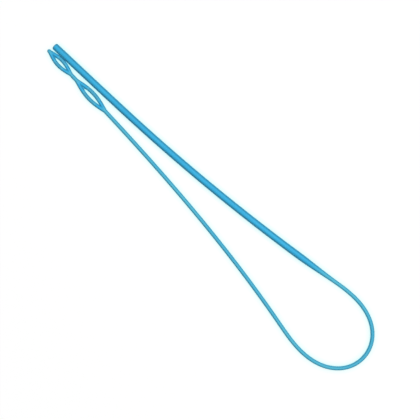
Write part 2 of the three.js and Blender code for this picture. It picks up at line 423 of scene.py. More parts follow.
@dataclass(frozen=True)
class EyeEnd:
    """The two eyes in line, the bridge between them and the round nose.

    Attributes:
        rear: The eye at the shaft.
        bridge: The bridge's length.
        bridge_radius: Its radius.
        front: The eye at the nose.
        nose: How far the nose reaches past the front eye.
        step: The distance between rings.
        run_in: How far before the rear eye the rings are already that close.
        nose_steps: The number of rings round the nose.
    """

    rear: Eye = Eye(14.1 * MM, 3.55 * MM, 1.32 * MM, 2.95 * MM, 7.4 * MM)
    bridge: float = 2.3 * MM
    bridge_radius: float = 0.66 * MM
    front: Eye = Eye(10.45 * MM, 3.3 * MM, 1.28 * MM, 2.3 * MM, 5.3 * MM)
    nose: float = 0.75 * MM
    step: float = 0.1 * MM
    run_in: float = 1.0 * MM
    nose_steps: int = 12

    @property
    def front_start(self) -> float:
        """How far the front eye starts from the shaft's end."""
        return self.rear.length + self.bridge

    @property
    def nose_start(self) -> float:
        """How far the nose starts from the shaft's end."""
        return self.front_start + self.front.length

    @property
    def length(self) -> float:
        """The whole length in front of the shaft."""
        return self.nose_start + self.nose

    def section(self, along: float) -> Section:
        """Cuts the eyes, the bridge or the nose.

        Args:
            along: Distance from the shaft's end.

        Returns:
            The section there.
        """
        if along <= self.rear.length:
            return self.rear.section(along)
        if along < self.front_start:
            return Section(self.bridge_radius, self.bridge_radius)
        if along <= self.nose_start:
            return self.front.section(along - self.front_start)
        share = min((along - self.nose_start) / self.nose, 1.0)
        radius = self.front.radius * math.sqrt(1 - share * share)
        return Section(radius, radius)

    def key_stations(self) -> list[float]:
        """Lists where a skin needs a ring of its own.

        Returns:
            The distances from the shaft's end, in no order.
        """
        keys = [0.0, self.rear.length, self.front_start, self.nose_start]
        for eye, start in ((self.rear, 0.0), (self.front, self.front_start)):
            keys.append(start + eye.opening_start)
            keys.append(start + eye.opening_start + eye.opening_length)
        for step in range(self.nose_steps + 1):
            turn = math.pi / 2 * step / self.nose_steps
            keys.append(self.nose_start + self.nose * math.sin(turn))
        return keys


@dataclass(frozen=True)
class Loop:
    """How the rod lies: its bows, and the lengths of its bend.

    Attributes:
        butt_length: The stretch from the butt that is nearly straight.
        butt_bow: How far that stretch turns.
        handle_bow: How far the rest of the handle turns, up to the bend.
        lead: How far before the taper's end the bend starts.
        ease_in: The length in which the bend grows to its arc.
        arc: The length of even curvature.
        ease_out: The length in which the bend fades.
        return_bow: How far the return turns, from the bend to the eyes.
        return_kept: The share of the return's first curvature that is left at the eyes.
    """

    butt_length: float = 30.0 * MM
    butt_bow: float = math.radians(0.5)
    handle_bow: float = math.radians(7.6)
    lead: float = 3.0 * MM
    ease_in: float = 26.0 * MM
    arc: float = 11.0 * MM
    ease_out: float = 29.7 * MM
    return_bow: float = math.radians(8.6)
    return_kept: float = 0.35


@dataclass
class Centreline:
    """The rod's middle line as it lies, seen from above and traced from the butt.

    Attributes:
        handle: The handle's sizes.
        shaft: The shaft's sizes.
        eyes: The sizes of the eyes.
        loop: How the rod lies.
        butt: The middle of the butt's flat end.
        eye_heading: The direction in which the eyes point, in radians.
        points: Traced places a small step apart, each with x, y and heading.
    """

    handle: Handle
    shaft: Shaft
    eyes: EyeEnd
    loop: Loop
    butt: Vector
    eye_heading: float
    points: list[tuple[float, float, float]] = field(default_factory=list)

    def __post_init__(self) -> None:
        """Traces the line by its curvature, which changes steadily between key stations."""
        stations, curves = self.curvature()
        x, y, heading = self.butt.x, self.butt.y, 0.0
        self.points = [(x, y, heading)]
        for index in range(math.ceil(stations[-1] / LINE_STEP) + 1):
            turn = self.curve_at(stations, curves, (index + 0.5) * LINE_STEP) * LINE_STEP
            x += math.cos(heading + turn / 2) * LINE_STEP
            y += math.sin(heading + turn / 2) * LINE_STEP
            heading += turn
            self.points.append((x, y, heading))

    def curvature(self) -> tuple[list[float], list[float]]:
        """Works out the curvature at the key stations.

        Returns:
            The stations and the curvature at each, in radians per metre, positive to the left.
        """
        loop, shaft_end = self.loop, self.handle.end + self.shaft.length
        bend_start = self.handle.end - loop.lead
        bend_end = bend_start + loop.ease_in + loop.arc + loop.ease_out
        bows = loop.butt_bow + loop.handle_bow + loop.return_bow
        bend_turn = bows - (self.eye_heading - math.tau)
        butt_curve = loop.butt_bow / loop.butt_length
        handle_curve = loop.handle_bow / (bend_start - loop.butt_length)
        return_curve = 2 * loop.return_bow / (shaft_end - bend_end) / (1 + loop.return_kept)
        eased = (loop.ease_in * handle_curve + loop.ease_out * return_curve) / 2
        full = loop.ease_in / 2 + loop.arc + loop.ease_out / 2
        bend_curve = -(bend_turn + eased) / full
        keys = [
            (0.0, butt_curve),
            (loop.butt_length, butt_curve),
            (loop.butt_length, handle_curve),
            (bend_start, handle_curve),
            (bend_start + loop.ease_in, bend_curve),
            (bend_start + loop.ease_in + loop.arc, bend_curve),
            (bend_end, return_curve),
            (shaft_end, return_curve * loop.return_kept),
            (shaft_end, 0.0),
            (shaft_end + self.eyes.length, 0.0),
        ]
        return [station for station, _ in keys], [curve for _, curve in keys]

    @staticmethod
    def curve_at(stations: list[float], curves: list[float], station: float) -> float:
        """Reads the curvature, which changes steadily between the key stations.

        Args:
            stations: The key stations, in order.
            curves: The curvature at each.
            station: Where to read it.

        Returns:
            The curvature there.
        """
        after = min(bisect_right(stations, station), len(stations) - 1)
        before = after - 1
        share = (station - stations[before]) / (stations[after] - stations[before])
        return mix(curves[before], curves[after], min(share, 1.0))

    def place(self, station: float) -> tuple[float, float, float]:
        """Finds a place on the line.

        Args:
            station: Its distance from the butt along the line.

        Returns:
            The place's x and y, and the line's heading there.
        """
        index = min(int(station / LINE_STEP), len(self.points) - 2)
        share = station / LINE_STEP - index
        before, after = self.points[index], self.points[index + 1]
        x, y, heading = (mix(a, b, share) for a, b in zip(before, after))
        return x, y, heading

    def height(self, station: float) -> float:
        """Returns the axis's height, at which the round rod rests on the surface."""
        return self.handle.radius_at(station, self.shaft.radius)

    def point(self, station: float) -> Vector:
        """Returns the axis's point at a station."""
        x, y, _ = self.place(station)
        return Vector((x, y, self.height(station)))

    def station_near(self, point: Vector) -> float:
        """Finds the station whose place is nearest to a point.

        Args:
            point: A point on the line, such as a hinge of the frame.

        Returns:
            Its station.
        """
        gaps = [math.hypot(x - point.x, y - point.y) for x, y, _ in self.points]
        index = gaps.index(min(gaps))
        x, y, heading = self.points[index]
        ahead = (point.x - x) * math.cos(heading) + (point.y - y) * math.sin(heading)
        return index * LINE_STEP + ahead

    def lay(self, bm: bmesh.types.BMesh) -> None:
        """Lays a straight mesh along the line.

        Args:
            bm: The mesh in straight coordinates. Its vertices keep these in an attribute.
        """
        keep = bm.verts.layers.float_vector.new(PLACE_ATTRIBUTE)
        for vert in bm.verts:
            station, left, up = vert.co
            vert[keep] = vert.co
            x, y, heading = self.place(max(station, 0.0))
            vert.co.x = x - left * math.sin(heading)
            vert.co.y = y + left * math.cos(heading)
            vert.co.z = self.height(station) + up


@dataclass
class Moulding:
    """The whole rod: its sections, and the skins that are cut from it.

    Attributes:
        handle: The handle's sizes.
        shaft: The shaft's sizes.
        eyes: The sizes of the eyes.
        line: The line along which the rod lies.
    """

    handle: Handle
    shaft: Shaft
    eyes: EyeEnd
    line: Centreline

    @property
    def shaft_end(self) -> float:
        """The station where the shaft ends and the rear eye starts."""
        return self.handle.end + self.shaft.length

    @property
    def end(self) -> float:
        """The station of the nose's tip."""
        return self.shaft_end + self.eyes.length

    def section(self, station: float) -> Section:
        """Cuts the rod at any station.

        Args:
            station: Where to cut.

        Returns:
            The section there.
        """
        if station < self.handle.end:
            return self.handle.section(station, self.shaft.radius)
        if station < self.shaft_end:
            return self.shaft.section()
        return self.eyes.section(station - self.shaft_end)

    def step_at(self, station: float) -> float:
        """Chooses how close the rings are.

        Args:
            station: Where on the rod.

        Returns:
            The wanted distance between rings there.
        """
        if station < self.handle.end:
            return self.handle.step
        return self.shaft.step if station < self.shaft_end - self.eyes.run_in else self.eyes.step

    def stations(self, start: float, end: float) -> list[float]:
        """Chooses where a skin has its rings.

        Args:
            start: The station where the skin starts.
            end: The station where it ends.

        Returns:
            The stations, in order, with one at each place where the form changes.
        """
        keys = [start, end, *self.handle.butt_stations(), self.handle.rounding]
        keys += [self.handle.length, self.handle.end]
        keys += [self.shaft_end + key for key in self.eyes.key_stations()]
        keys = sorted(key for key in set(keys) if start <= key <= end)
        rings = [keys[0]]
        for before, after in zip(keys, keys[1:]):
            if after - before < MERGE:
                continue
            step = self.step_at((before + after) / 2)
            count = math.ceil((after - before) / step - COUNT_SLACK)
            rings += [mix(before, after, part / count) for part in range(1, count + 1)]
        return rings

    def quarter(self, rings: list[float]) -> bmesh.types.BMesh:
        """Shapes a grid into the upper left quarter of the rod's surface.

        Args:
            rings: The stations of the grid's columns.

        Returns:
            The straight quarter, open along its four sides.
        """
        bm = bmesh.new()
        columns = len(rings) - 1
        bmesh.ops.create_grid(bm, x_segments=columns, y_segments=SIDE_STEPS, size=1.0)
        sections = [self.section(station) for station in rings]
        width = bm.verts.layers.float.new(WIDTH_ATTRIBUTE)
        for vert in bm.verts:
            column = round((vert.co.x + 1) / 2 * columns)
            row = round((vert.co.y + 1) / 2 * SIDE_STEPS)
            across, up = sections[column].point(row / SIDE_STEPS)
            vert.co = (rings[column], across, up)
            vert[width] = sections[column].plastic_width
        return bm

    @staticmethod
    def mark_sides(bm: bmesh.types.BMesh) -> None:
        """Notes on each vertex how upright the surface is: 0 on top and below, 1 at the sides.

        Args:
            bm: The straight mesh, still open at its ends.
        """
        bm.normal_update()
        side = bm.verts.layers.float.new(SIDE_ATTRIBUTE)
        for vert in bm.verts:
            vert[side] = 1 - abs(vert.normal.z)

    def skin(self, start: float, end: float) -> bmesh.types.BMesh:
        """Models the straight rod between two stations as one closed skin.

        Args:
            start: The station where it starts.
            end: The station where it ends.

        Returns:
            The closed mesh, with its ends' edges marked sharp.
        """
        bm = self.quarter(self.stations(start, end))
        for axis in ("Z", "Y"):
            everything = bm.verts[:] + bm.edges[:] + bm.faces[:]
            bmesh.ops.mirror(bm, geom=everything, axis=axis, merge_dist=MERGE)
        bmesh.ops.remove_doubles(bm, verts=bm.verts[:], dist=MERGE)
        bmesh.ops.dissolve_degenerate(bm, edges=bm.edges[:], dist=NO_LENGTH)
        # At an opening's pointed ends the upper and lower skin meet in edges with four faces
        pinched = [edge for edge in bm.edges if len(edge.link_faces) > 2]
        bmesh.ops.collapse(bm, edges=pinched)
        bmesh.ops.recalc_face_normals(bm, faces=bm.faces[:])
        self.mark_sides(bm)
        rims = [edge for edge in bm.edges if edge.is_boundary]
        bmesh.ops.holes_fill(bm, edges=rims, sides=0)
        for face in bm.faces:
            face.smooth = True
        for edge in rims:
            edge.smooth = False
        bmesh.ops.recalc_face_normals(bm, faces=bm.faces[:])
        return bm


def placed(name: str, bm: bmesh.types.BMesh, finish: bpy.types.Material) -> bpy.types.Object:
    """Puts a finished mesh into the scene.

    Args:
        name: The object's name.
        bm: Its mesh, in place. It is freed.
        finish: Its material.

    Returns:
        The object, at the origin.
    """
    mesh = bpy.data.meshes.new(name)
    bm.to_mesh(mesh)
    bm.free()
    mesh.materials.append(finish)
    made = bpy.data.objects.new(name, mesh)
    bpy.context.scene.collection.objects.link(made)
    return made


class Slot(Enum):
    """The record's material slots."""

    ROD = "rod_plastic"
    EYE = "eye_plastic"


def linear(red: int, green: int, blue: int) -> Colour:
    """Turns a colour as seen on screen into the values that shaders use, by the sRGB curve.

    Args:
        red: Red, from 0 to 255.
        green: Green, from 0 to 255.
        blue: Blue, from 0 to 255.

    Returns:
        Linear red, green and blue, and an alpha of 1.
    """
    parts = [value / 255 for value in (red, green, blue)]
    lin = [p / 12.92 if p <= 0.04045 else ((p + 0.055) / 1.055) ** 2.4 for p in parts]
    return lin[0], lin[1], lin[2], 1.0


class Wiring:
    """Adds nodes to a tree and joins them."""

    def __init__(self, tree: bpy.types.NodeTree) -> None:
        """Keeps the tree that the nodes go into."""
        self.tree = tree

    @classmethod
    def afresh(cls, owner: bpy.types.Material | bpy.types.World) -> "Wiring":
        """Starts on a material or a world that has no nodes yet.

        Args:
            owner: The new material or world.

        Returns:
            The wiring of its emptied tree.
        """
        owner.use_nodes = True
        owner.node_tree.nodes.clear()
        return cls(owner.node_tree)

    def node(self, kind: str, **settings: object) -> bpy.types.Node:
        """Adds a node.

        Args:
            kind: The node's type.
            settings: Its properties, by name.

        Returns:
            The new node.
        """
        made = self.tree.nodes.new(kind)
        for label, value in settings.items():
            setattr(made, label, value)
        return made

    def join(self, source: bpy.types.NodeSocket, target: bpy.types.NodeSocket) -> None:
        """Links two sockets."""
        self.tree.links.new(source, target)

    def math(self, operation: str, *values: object) -> bpy.types.NodeSocket:
        """Adds a calculation with up to three sockets or numbers.

        Args:
            operation: The Math node's operation.
            values: Its sockets or numbers, in the node's order.

        Returns:
            The result's socket.
        """
        made = self.node("ShaderNodeMath", operation=operation)
        for index, value in enumerate(values):
            if isinstance(value, bpy.types.NodeSocket):
                self.join(value, made.inputs[index])
            else:
                made.inputs[index].default_value = value
        return made.outputs[0]

    def band(self, value: bpy.types.NodeSocket, low: float, high: float) -> bpy.types.NodeSocket:
        """Maps a range of values onto 0 to 1, held at its ends, with a smooth change.

        Args:
            value: The value's socket.
            low: The value that gives 0.
            high: The value that gives 1.

        Returns:
            The result's socket.
        """
        made = self.node("ShaderNodeMapRange", interpolation_type="SMOOTHSTEP")
        made.inputs["From Min"].default_value = low
        made.inputs["From Max"].default_value = high
        self.join(value, made.inputs["Value"])
        return made.outputs["Result"]

    def attribute(self, name: str) -> bpy.types.Node:
        """Returns a node that reads an attribute of the surface."""
        return self.node("ShaderNodeAttribute", attribute_name=name)

    def stretched(
        self, place: bpy.types.NodeSocket, along: float, across: float
    ) -> bpy.types.NodeSocket:
        """Scales a place on the straight rod.

        Args:
            place: The place's socket.
            along: The scale along the rod.
            across: The scale across it, both ways.

        Returns:
            The scaled place's socket.
        """
        made = self.node("ShaderNodeMapping")
        made.inputs["Scale"].default_value = (along, across, across)
        self.join(place, made.inputs["Vector"])
        return made.outputs["Vector"]

    def noise(
        self,
        place: bpy.types.NodeSocket,
        scale: bpy.types.NodeSocket,
        detail: float,
        roughness: float = 0.5,
    ) -> bpy.types.NodeSocket:
        """Adds a cloudy noise.

        Args:
            place: The socket of the place where it is read.
            scale: The socket of its scale.
            detail: How many finer layers it has.
            roughness: How strong each finer layer is, as a share of the one before.

        Returns:
            The noise's socket.
        """
        made = self.node("ShaderNodeTexNoise")
        made.inputs["Detail"].default_value = detail
        made.inputs["Roughness"].default_value = roughness
        self.join(place, made.inputs["Vector"])
        self.join(scale, made.inputs["Scale"])
        return made.outputs["Fac"]

    def colour_mix(
        self, share: bpy.types.NodeSocket, first: object, second: object
    ) -> bpy.types.NodeSocket:
        """Mixes two colours.

        Args:
            share: The socket of the second colour's share.
            first: The first colour, or its socket.
            second: The second colour, or its socket.

        Returns:
            The mixed colour's socket.
        """
        made = self.node("ShaderNodeMix", data_type="RGBA")
        self.join(share, made.inputs["Factor"])
        colours = [socket for socket in made.inputs if socket.type == "RGBA"]
        for socket, value in zip(colours, (first, second)):
            if isinstance(value, bpy.types.NodeSocket):
                self.join(value, socket)
            else:
                socket.default_value = value
        return next(socket for socket in made.outputs if socket.type == "RGBA")


class EffectGroup:
    """A new shader node group that takes a place on the rod, and one size of its effect."""

    def __init__(self, name: str, size_name: str, size: float, result: str) -> None:
        """Makes the group's sockets and its two end nodes.

        Args:
            name: The group's name.
            size_name: The name of the input for the size.
            size: The size that the group starts with.
            result: The name of the output.
        """
        self.tree = bpy.data.node_groups.new(name, "ShaderNodeTree")
        ends = self.tree.interface
        ends.new_socket(name="Place", in_out="INPUT", socket_type="NodeSocketVector")
        socket = ends.new_socket(name=size_name, in_out="INPUT", socket_type="NodeSocketFloat")
        socket.default_value = size
        ends.new_socket(name=result, in_out="OUTPUT", socket_type="NodeSocketFloat")
        self.wiring = Wiring(self.tree)
        start = self.wiring.node("NodeGroupInput")
        self.place = start.outputs["Place"]
        self.size = start.outputs[size_name]
        self.result = self.wiring.node("NodeGroupOutput").inputs[result]

    def finished(self, source: bpy.types.NodeSocket) -> bpy.types.NodeTree:
        """Joins the effect to the group's output and returns the group."""
        self.wiring.join(source, self.result)
        return self.tree


@dataclass(frozen=True)
class MeltFlow:
    """The streaks that the melt leaves as it runs along the mould.

    Attributes:
        fineness: The pattern's scale along the rod, per metre.
        squeeze: How much finer it is across the rod.
        detail: How many finer layers it has.
        roughness: How strong each finer layer is, as a share of the one before.
        streak: The values of the noise between which a streak comes in.
    """

    fineness: float = 60.0
    squeeze: float = 12.0
    detail: float = 3.0
    roughness: float = 0.55
    streak: tuple[float, float] = (0.35, 0.68)

    def group(self) -> bpy.types.NodeTree:
        """Makes the streaks.

        Returns:
            A group that takes a place and gives a mask.
        """
        group = EffectGroup("melt_flow", "Fineness", self.fineness, "Mask")
        wiring = group.wiring
        place = wiring.stretched(group.place, 1.0, self.squeeze)
        noise = wiring.noise(place, group.size, self.detail, self.roughness)
        return group.finished(wiring.band(noise, *self.streak))


@dataclass(frozen=True)
class MouldGrain:
    """The fine unevenness of a face that cooled against steel.

    Attributes:
        fineness: The fine grain's scale, per metre.
        detail: How many finer layers the fine grain has.
        broad_share: The broad grain's scale, as a share of the fine grain's.
        broad_detail: How many finer layers the broad grain has.
        broad_weight: How many times the fine grain's height the broad grain has.
    """

    fineness: float = 4000.0
    detail: float = 4.0
    broad_share: float = 0.16
    broad_detail: float = 2.0
    broad_weight: float = 1.6

    def group(self) -> bpy.types.NodeTree:
        """Makes the grain.

        Returns:
            A group that takes a place and gives a height.
        """
        group = EffectGroup("mould_grain", "Fineness", self.fineness, "Height")
        wiring = group.wiring
        fine = wiring.noise(group.place, group.size, self.detail)
        scale = wiring.math("MULTIPLY", group.size, self.broad_share)
        broad = wiring.noise(group.place, scale, self.broad_detail)
        weighted = wiring.math("MULTIPLY", broad, self.broad_weight)
        return group.finished(wiring.math("ADD", fine, weighted))


@dataclass(frozen=True)
class DrawnScuffs:
    """The sparse fine scuffs that run along a rod that has been drawn through cloth.

    Attributes:
        fineness: The scuffs' scale, per metre.
        along: The share of that scale along the rod.
        across: The share of that scale across it.
        detail: How many finer layers the scuffs have.
        patch_share: The scale of the scuffed patches, as a share of the scuffs'.
        patch_detail: How many finer layers the patches have.
        scuff: The values of the scuffs' noise between which a scuff comes in.
        patch: The values of the patches' noise between which a patch comes in.
    """

    fineness: float = 900.0
    along: float = 0.12
    across: float = 2.2
    detail: float = 1.0
    patch_share: float = 0.2
    patch_detail: float = 2.0
    scuff: tuple[float, float] = (0.66, 0.74)
    patch: tuple[float, float] = (0.5, 0.7)

    def group(self) -> bpy.types.NodeTree:
        """Makes the scuffs.

        Returns:
            A group that takes a place and gives a mask.
        """
        group = EffectGroup("drawn_scuffs", "Fineness", self.fineness, "Mask")
        wiring = group.wiring
        place = wiring.stretched(group.place, self.along, self.across)
        lines = wiring.noise(place, group.size, self.detail)
        scale = wiring.math("MULTIPLY", group.size, self.patch_share)
        patches = wiring.noise(group.place, scale, self.patch_detail)
        scuffs = wiring.band(lines, *self.scuff)
        return group.finished(wiring.math("MULTIPLY", scuffs, wiring.band(patches, *self.patch)))


@dataclass(frozen=True)
class PartingLine:
    """The line where the mould's halves met, halfway up the rod.

    Attributes:
        width: How far above and below the middle it fades out.
    """

    width: float = 0.05 * MM

    def group(self) -> bpy.types.NodeTree:
        """Makes the line.

        Returns:
            A group that takes a place and gives a mask.
        """
        group = EffectGroup("parting_line", "Width", self.width, "Mask")
        wiring = group.wiring
        parts = wiring.node("ShaderNodeSeparateXYZ")
        wiring.join(group.place, parts.inputs["Vector"])
        reach = wiring.math("DIVIDE", wiring.math("ABSOLUTE", parts.outputs["Z"]), group.size)
        return group.finished(wiring.math("MAXIMUM", wiring.math("SUBTRACT", 1.0, reach), 0.0))


@dataclass(frozen=True)
class Effects:
    """The node groups that the plastics share.

    Attributes:
        flow: The melt's streaks.
        grain: The mould's grain.
        scuffs: The scuffs that use has left.
        parting: The parting line.
    """

    flow: bpy.types.NodeTree
    grain: bpy.types.NodeTree
    scuffs: bpy.types.NodeTree
    parting: bpy.types.NodeTree


@dataclass(frozen=True)
class BluePlastic:
    """The rod's bright blue plastic.

    Attributes:
        slot: The record's slot, which names the material.
        polish_start: The station from which use has polished the rod.
        body: Its main colour, where the plastic is wide.
        thin: Its colour where it is narrow: partly the thin plastic's paler tone, partly painted
            light.
        strand: Its colour where it is narrowest, in the strands of the eyes.
        thin_widths: The widths between which the strand's colour becomes the thin one.
        body_widths: The widths between which the thin colour becomes the main one.
        deep: The colour of the melt's darker streaks.
        streak_share: How much of it the streaks show.
        rim: A darker colour painted on the shoulders: painted shade where the sides turn from the
            lamp.
        thin_painted_shade: How much of that painted shade narrow plastic shows.
        painted_shade_tilts: How upright the surface is where the painted shade comes in.
        outline: A light colour painted on the upright sides: painted light, as if light came through
            them.
        painted_light_tilts: How upright the surface is where the painted light comes in.
        pale: The colour along the parting line and on scuffs.
        scuff_share: How much of it the scuffs show.
        parting_share: How much of it the parting line shows.
        roughness: How rough the moulded face is.
        streak_roughness: How much rougher the streaks are.
        scuff_roughness: How much rougher the scuffs are.
        polish: How much smoother the tip is.
        polish_length: The length in which the polish grows.
        grain_depth: The height of the mould's grain.
        grain_strength: How strongly the grain shows.
        refraction: The plastic's index of refraction.
        mirroring: How much the surface mirrors.
    """

    slot: Slot
    polish_start: float
    body: Colour = linear(49, 168, 213)
    thin: Colour = linear(76, 174, 200)
    strand: Colour = linear(72, 162, 190)
    thin_widths: tuple[float, float] = (1.08 * MM, 1.3 * MM)
    body_widths: tuple[float, float] = (1.4 * MM, 2.2 * MM)
    deep: Colour = linear(40, 148, 196)
    streak_share: float = 0.3
    rim: Colour = linear(54, 134, 168)
    thin_painted_shade: float = 0.65
    painted_shade_tilts: tuple[float, float] = (0.02, 0.3)
    outline: Colour = linear(90, 218, 255)
    painted_light_tilts: tuple[float, float] = (0.3, 0.8)
    pale: Colour = linear(120, 200, 232)
    scuff_share: float = 0.25
    parting_share: float = 0.3
    roughness: float = 0.5
    streak_roughness: float = 0.06
    scuff_roughness: float = 0.2
    polish: float = 0.16
    polish_length: float = 8.0 * MM
    grain_depth: float = 0.004 * MM
    grain_strength: float = 0.6
    refraction: float = 1.49
    mirroring: float = 0.15

    def colour(self, wiring: Wiring, masks: dict[str, bpy.types.NodeSocket]) -> bpy.types.NodeSocket:
        """Mixes the plastic's colour, with painted shade on its shoulders and painted light on its
        sides.

        Args:
            wiring: The material's nodes.
            masks: The outputs of the shared effects, by name.

        Returns:
            The colour's socket.
        """
        width = wiring.attribute(WIDTH_ATTRIBUTE).outputs["Fac"]
        wide = wiring.band(width, *self.body_widths)
        # Paler where the plastic is thin: partly its own tone, partly painted light let through.
        colour = wiring.colour_mix(wiring.band(width, *self.thin_widths), self.strand, self.thin)
        colour = wiring.colour_mix(wide, colour, self.body)
        streaks = wiring.math("MULTIPLY", masks["flow"], self.streak_share)
        colour = wiring.colour_mix(streaks, colour, self.deep)
        side = wiring.attribute(SIDE_ATTRIBUTE).outputs["Fac"]
        # Painted shade: the shoulders are darkened in the colour, where the round sides turn from
        # the lamp above.
        depth = wiring.math("MULTIPLY_ADD", wide, 1 - self.thin_painted_shade, self.thin_painted_shade)
        painted_shoulder_shade = wiring.math("MULTIPLY", wiring.band(side, *self.painted_shade_tilts), depth)
        colour = wiring.colour_mix(painted_shoulder_shade, colour, self.rim)
        # Painted light: the upright sides are lightened in the colour, as if light shone through the
        # plastic.
        colour = wiring.colour_mix(wiring.band(side, *self.painted_light_tilts), colour, self.outline)
        worn = wiring.math("MULTIPLY", masks["scuffs"], self.scuff_share)
        edge = wiring.math("MULTIPLY", masks["parting"], self.parting_share)
        return wiring.colour_mix(wiring.math("MAXIMUM", worn, edge), colour, self.pale)

    def roughness_of(
        self, wiring: Wiring, masks: dict[str, bpy.types.NodeSocket], place: bpy.types.NodeSocket
    ) -> bpy.types.NodeSocket:
        """Works out how rough the face is, with streaks, scuffs and the polished tip.

        Args:
            wiring: The material's nodes.
            masks: The outputs of the shared effects, by name.
            place: The place on the straight rod.

        Returns:
            The roughness's socket.
        """
        parts = wiring.node("ShaderNodeSeparateXYZ")
        wiring.join(place, parts.inputs["Vector"])
        end = self.polish_start + self.polish_length
        polish = wiring.band(parts.outputs["X"], self.polish_start, end)
        streaks = wiring.math("MULTIPLY", masks["flow"], self.streak_roughness)
        scuffs = wiring.math("MULTIPLY", masks["scuffs"], self.scuff_roughness)
        rough = wiring.math("ADD", wiring.math("ADD", streaks, self.roughness), scuffs)
        return wiring.math("SUBTRACT", rough, wiring.math("MULTIPLY", polish, self.polish))

    def material(self, effects: Effects) -> bpy.types.Material:
        """Builds the plastic's shader.

        Args:
            effects: The shared node groups.

        Returns:
            The finished material.
        """
        made = bpy.data.materials.new(self.slot.value)
        wiring = Wiring.afresh(made)
        place = wiring.attribute(PLACE_ATTRIBUTE).outputs["Vector"]
        masks: dict[str, bpy.types.NodeSocket] = {}
        for label in ("flow", "grain", "scuffs", "parting"):
            node = wiring.node("ShaderNodeGroup", node_tree=getattr(effects, label))
            wiring.join(place, node.inputs["Place"])
            masks[label] = node.outputs[0]
        shader = wiring.node("ShaderNodeBsdfPrincipled")
        shader.inputs["IOR"].default_value = self.refraction
        shader.inputs["Specular IOR Level"].default_value = self.mirroring
        wiring.join(self.colour(wiring, masks), shader.inputs["Base Color"])
        wiring.join(self.roughness_of(wiring, masks, place), shader.inputs["Roughness"])
        bump = wiring.node("ShaderNodeBump")
        bump.inputs["Strength"].default_value = self.grain_strength
        bump.inputs["Distance"].default_value = self.grain_depth
        wiring.join(masks["grain"], bump.inputs["Height"])
        wiring.join(bump.outputs["Normal"], shader.inputs["Normal"])
        end = wiring.node("ShaderNodeOutputMaterial")
        wiring.join(shader.outputs["BSDF"], end.inputs["Surface"])
        return made


@dataclass(frozen=True)
class Link:
    """One link of the frame, as a stretch of the rod.

    Attributes:
        name: The link's node, which is also its body.
        start: The station of the hinge at its start, or 0 at the butt.
        end: The station of the hinge at its end, or that of the tip.
    """

    name: str
    start: float
    end: float

    @property
    def middle(self) -> float:
        """The station halfway along the link."""
        return (self.start + self.end) / 2


@dataclass
class Threader:
    """The whole threader: cuts the rod into pieces along the frame's links.

    Attributes:
        moulding: The rod that the pieces are cut from.
        finishes: The material of each slot.
        rear_seam: How far before the rear eye's front end the next piece starts.
        eye_reach: How far from its hinge the stretch worked out for a piece of the eyes reaches at
            most.
    """

    moulding: Moulding
    finishes: dict[Slot, bpy.types.Material]
    rear_seam: float = 1.1 * MM
    eye_reach: float = 0.95 * MM

    def links(self) -> list[Link]:
        """Reads the chain of links from the frame's joints.

        Returns:
            The links, from the butt to the tip.
        """
        joints = {joint["parent"]: joint for joint in frame["joints"]}
        children = {joint["child"] for joint in joints.values()}
        name = next(body for body in joints if body not in children)
        stations, names = [0.0], [name]
        while name in joints:
            hinge = Vector(joints[name]["pos_m"])
            stations.append(self.moulding.line.station_near(hinge))
            name = joints[name]["child"]
            names.append(name)
        stations.append(self.moulding.end)
        return [Link(*row) for row in zip(names, stations, stations[1:])]

    def seams(self, links: list[Link]) -> list[float]:
        """Chooses where one piece ends and the next starts.

        Args:
            links: The chain of links.

        Returns:
            The stations of the pieces' ends: the butt, a seam in each link but the last, the tip.
        """
        seams = [0.0]
        for link in links[:-1]:
            is_rear_eye = link.end > self.moulding.shaft_end and link.start < self.moulding.shaft_end
            seams.append(link.end - self.rear_seam if is_rear_eye else link.middle)
        return [*seams, self.moulding.end]

    def make(self, name: str, start: float, end: float) -> bpy.types.Object:
        """Makes one piece of the rod, laid in place.

        Args:
            name: The piece's name.
            start: The station where it starts.
            end: The station where it ends.

        Returns:
            The piece, with its finish.
        """
        bm = self.moulding.skin(start, end)
        if start <= 0:
            self.moulding.handle.mark_gate(bm)
        self.moulding.line.lay(bm)
        slot = Slot.EYE if end > self.moulding.shaft_end else Slot.ROD
        piece = placed(name, bm, self.finishes[slot])
        return piece

    def hang(self, piece: bpy.types.Object, before: Link, after: Link) -> None:
        """Works out the stretch about the joint between two links and bakes the piece's transform.

        For the rear eye's joint the stretch is the shaft's last stretch, which leaves the eye whole.

        Args:
            piece: The piece that crosses the joint.
            before: The link on the butt's side.
            after: The link on the tip's side.
        """
        reach = min(before.end - before.start, after.end - after.start) / 2
        if after.end > self.moulding.shaft_end:
            reach = min(reach, self.eye_reach)
        if before.end < self.moulding.shaft_end < after.end:
            reach = self.moulding.shaft_end - after.start
        line = self.moulding.line
        start, end = line.point(before.end - reach), line.point(before.end + reach)
        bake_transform(piece)
        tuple(start)
        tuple(end)

    def build(self) -> None:
        """Makes every piece and reports it."""
        links = self.links()
        seams = self.seams(links)
        first = self.make(f"{links[0].name}_moulding", 0.0, seams[1])
        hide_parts(links[0].name)
        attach(first, links[0].name)
        LOG.info("%s rides on %s", first.name, links[0].name)
        for index in range(1, len(links)):
            before, after = links[index - 1], links[index]
            piece = self.make(f"{after.name}_moulding", seams[index], seams[index + 1])
            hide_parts(after.name)
            self.hang(piece, before, after)
            LOG.info("%s bends from %s to %s", piece.name, before.name, after.name)


